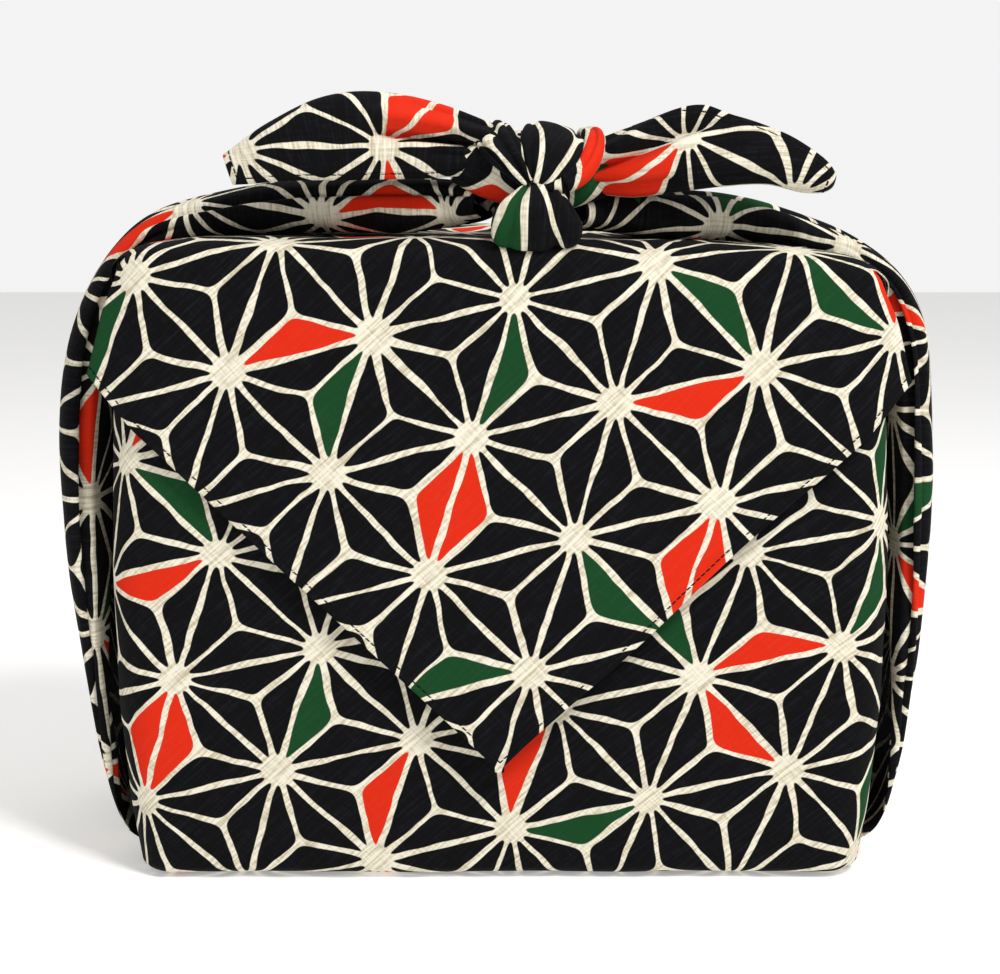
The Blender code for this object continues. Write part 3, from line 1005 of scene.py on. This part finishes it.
    # which cell of which star this is
    isB = addNode(tree, "Math", {"operation": "COMPARE"}, {0: b, 1: least, 2: 0.00001})
    isC = addNode(tree, "Math", {"operation": "COMPARE"}, {0: c, 1: least, 2: 0.00001})
    cell = addNode(tree, "Math", {"operation": "MULTIPLY_ADD"}, {0: isC, 1: 2.0, 2: isB})
    cell = addNode(tree, "Math", {"operation": "MULTIPLY_ADD"}, {0: upper, 1: 3.0, 2: cell})
    sRepeat = addNode(tree, "Math", {"operation": "FLOORED_MODULO"}, {0: sStep, 1: float(printRepeat[0])})
    tRepeat = addNode(tree, "Math", {"operation": "FLOORED_MODULO"}, {0: tStep, 1: float(printRepeat[1])})
    odd = addNode(tree, "Math", {"operation": "FLOORED_MODULO"}, {0: sRepeat, 1: 2.0})
    place = addNode(tree, "Math", {"operation": "MULTIPLY_ADD"}, {0: odd, 1: float(printRepeat[1]), 2: tRepeat})
    place = addNode(tree, "Math", {"operation": "MULTIPLY_ADD"}, {0: place, 1: 6.0, 2: cell})
    place = addNode(tree, "Math", {"operation": "ADD"}, {0: place, 1: 0.5})
    place = addNode(tree, "Math", {"operation": "DIVIDE"}, {0: place, 1: 12.0 * printRepeat[1]})
    ink = accentRamp(tree, place, 4)
    for pair in (3, 2, 1, 0):
        inRange = addNode(tree, "Math", {"operation": "LESS_THAN"}, {0: sRepeat, 1: 2.0 * pair + 1.5})
        ink = addNode(
            tree,
            "MixRGB",
            {},
            {"Fac": inRange, "Color1": ink, "Color2": accentRamp(tree, place, pair)},
        )

    # threads run along the cloth's two edge directions
    root = math.sqrt(0.5)
    weft = addNode(tree, "VectorMath", {"operation": "DOT_PRODUCT"}, {0: flat, 1: (root, root, 0)})
    weft = weft.node.outputs["Value"]
    warp = addNode(tree, "VectorMath", {"operation": "DOT_PRODUCT"}, {0: flat, 1: (root, -root, 0)})
    warp = warp.node.outputs["Value"]
    fibres = []
    for lengthwise, crosswise, long, fine in ((warp, weft, 55.0, 760.0), (weft, warp, 70.0, 820.0)):
        u = addNode(tree, "Math", {"operation": "MULTIPLY"}, {0: lengthwise, 1: long})
        v = addNode(tree, "Math", {"operation": "MULTIPLY"}, {0: crosswise, 1: fine})
        lie = addNode(tree, "CombineXYZ", {}, {"X": u, "Y": v})
        fibres.append(addNode(tree, "TexNoise", {}, {"Vector": lie, "Scale": 1.0, "Detail": 2.0, "Roughness": 0.6}))
    slub = addNode(tree, "Math", {"operation": "MULTIPLY_ADD"}, {0: fibres[1], 1: 0.45, 2: fibres[0]})
    fleck = addNode(tree, "MapRange", {}, {"Value": slub, "From Min": 0.70, "From Max": 0.95})
    faint = addNode(tree, "Math", {"operation": "MULTIPLY"}, {0: fleck, 1: 0.35})
    thick = addNode(tree, "MapRange", {}, {"Value": slub, "From Min": 0.54, "From Max": 0.80})
    ink = addNode(
        tree,
        "MixRGB",
        {"blend_type": "ADD"},
        {"Fac": faint, "Color1": ink, "Color2": hexColour(inks["groundFleck"])},
    )
    bare = addNode(
        tree,
        "MixRGB",
        {},
        {"Fac": thick, "Color1": hexColour(inks["creamFleck"]), "Color2": hexColour(inks["cream"])},
    )
    colour = addNode(tree, "MixRGB", {}, {"Fac": inked, "Color1": bare, "Color2": ink})

    # narrow rolled hem with its dark machine stitches
    fromHem = addNode(tree, "Attribute", {"attribute_name": "hemDistance"}).node.outputs["Fac"]
    hemRun = addNode(tree, "Attribute", {"attribute_name": "hemRun"}).node.outputs["Fac"]
    offLine = addNode(tree, "Math", {"operation": "SUBTRACT"}, {0: fromHem, 1: cloth["hemLine"]})
    offLine = addNode(tree, "Math", {"operation": "ABSOLUTE"}, {0: offLine})
    lineStart, lineEnd = stitching["halfLine"]
    onLine = addNode(tree, "MapRange", {}, {"Value": offLine, "From Min": lineEnd, "From Max": lineStart})
    dash = addNode(tree, "Math", {"operation": "DIVIDE"}, {0: hemRun, 1: stitching["step"]})
    dash = addNode(tree, "Math", {"operation": "FRACT"}, {0: dash})
    dash = addNode(tree, "Math", {"operation": "LESS_THAN"}, {0: dash, 1: stitching["share"]})
    stitch = addNode(tree, "Math", {"operation": "MULTIPLY"}, {0: onLine, 1: dash})
    colour = addNode(tree, "MixRGB", {}, {"Fac": stitch, "Color1": colour, "Color2": hexColour(inks["thread"])})
    tree.links.new(colour, shader.inputs["Base Color"])

    rolled = addNode(
        tree,
        "MapRange",
        {"interpolation_type": "SMOOTHSTEP"},
        {"Value": fromHem, "From Min": stitching["hemWidth"][1], "From Max": stitching["hemWidth"][0]},
    )
    sewn = addNode(tree, "MapRange", {}, {"Value": offLine, "From Min": 0.9, "From Max": 0.0})
    relief = addNode(tree, "Math", {"operation": "MULTIPLY_ADD"}, {0: sewn, 1: -0.9, 2: rolled})
    relief = addNode(tree, "Math", {"operation": "MULTIPLY_ADD"}, {0: slub, 1: 0.55, 2: relief})
    raised = addNode(tree, "Bump", {}, {"Height": relief, "Strength": 0.55, "Distance": 0.0005})
    tree.links.new(raised, shader.inputs["Normal"])
    shader.inputs["Roughness"].default_value = 0.86
    shader.inputs["Specular IOR Level"].default_value = 0.10
    shader.inputs["Sheen Weight"].default_value = 0.01
    shader.inputs["Sheen Roughness"].default_value = 0.6
    return material


studio = {
    "cameraAt": (0, -930, 320),
    "tilt": 9.96,
    "lens": 75.5,
}


def makeStudio():
    bpy.ops.object.select_all(action="DESELECT")
    bpy.ops.mesh.primitive_plane_add(size=6)
    floor = bpy.context.object
    floor.name = "studioFloor"
    paint = bpy.data.materials.new("paleStudioPaper")
    paint.use_nodes = True
    shader = paint.node_tree.nodes["Principled BSDF"]
    shader.inputs["Base Color"].default_value = hexColour("#f4f3f0")
    shader.inputs["Roughness"].default_value = 0.9
    shader.inputs["Emission Color"].default_value = (1, 1, 1, 1)
    shader.inputs["Emission Strength"].default_value = 0.32
    floor.data.materials.append(paint)
    world = bpy.data.worlds.new("softRoom")
    bpy.context.scene.world = world
    bpy.context.scene.view_settings.view_transform = "Standard"
    world.use_nodes = True
    tree = world.node_tree
    room = tree.nodes["Background"]
    room.inputs["Color"].default_value = (1, 1, 1, 1)
    room.inputs["Strength"].default_value = 0.42
    paper = addNode(tree, "Background", {}, {"Color": (1, 1, 1, 1), "Strength": 0.9})  # what the camera sees behind
    seen = addNode(tree, "LightPath").node.outputs["Is Camera Ray"]
    mixed = addNode(tree, "MixShader", {}, {"Fac": seen, 1: room.outputs[0], 2: paper})
    tree.links.new(mixed, tree.nodes["World Output"].inputs["Surface"])
    for name, place, aim, size, power in (
        ("keyPanel", (0.75, -1.0, 1.6), (0, 0, 0.15), 0.45, 27),
        ("fillPanel", (-1.3, -1.2, 0.7), (0, 0, 0.15), 1.2, 3),
        ("topPanel", (0, 0.3, 1.6), (0, 0, 0.2), 1.0, 4.5),
    ):
        light = bpy.data.lights.new(name, "AREA")
        light.shape = "SQUARE"
        light.size = size
        light.energy = power
        lamp = bpy.data.objects.new(name, light)
        bpy.context.scene.collection.objects.link(lamp)
        lamp.location = place
        lamp.rotation_euler = (Vector(aim) - Vector(place)).to_track_quat("-Z", "Y").to_euler()
    camera = bpy.data.cameras.new("camera")
    camera.lens = studio["lens"]
    view = bpy.data.objects.new("camera", camera)
    bpy.context.scene.collection.objects.link(view)
    view.location = Vector(studio["cameraAt"]) * mm
    view.rotation_euler = (math.radians(90 - studio["tilt"]), 0, 0)
    bpy.context.scene.camera = view


makeStudio()
print("studio ready")
cotton = slubCotton()
bodyCloth = makeWalls()
flapCloth = makeFlap()
print("body and flap ready")
for side, wing in ((-1, leftWing), (1, rightWing)):
    wing["spine"] = wingSpine(side, wing["table"], strapForward)
for tail in (leftTail, rightTail):
    tail["spine"] = tailSpine(tail["table"])
leftWingCloth = makeGathered(leftWing)
rightWingCloth = makeGathered(rightWing)
leftTailCloth = makeGathered(leftTail)
rightTailCloth = makeGathered(rightTail)
knot = makeKnot()
print("wings, tails and knot ready")


def clothArea(piece):  # half the surface, because the sheet has two faces
    return 0.5 * sum(face.area for face in piece.data.polygons)


pieces = {
    bodyCloth: (0.52, 0.62),
    flapCloth: (0.34, 0.36),
    leftWingCloth: (0.46, 0.15),
    rightWingCloth: (0.44, 0.15),
    leftTailCloth: (0.11, 0.08),
    rightTailCloth: (0.11, 0.08),
    knot: (0.27, 0.10),
}
for piece, flatSize in pieces.items():
    piece.data.materials.clear()
    piece.data.materials.append(cotton)
    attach(piece, "root")
    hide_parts("wrap")
    area = clothArea(piece)
    print(piece.name, "cloth area", round(area, 4), "of", round(flatSize[0] * flatSize[1], 4))
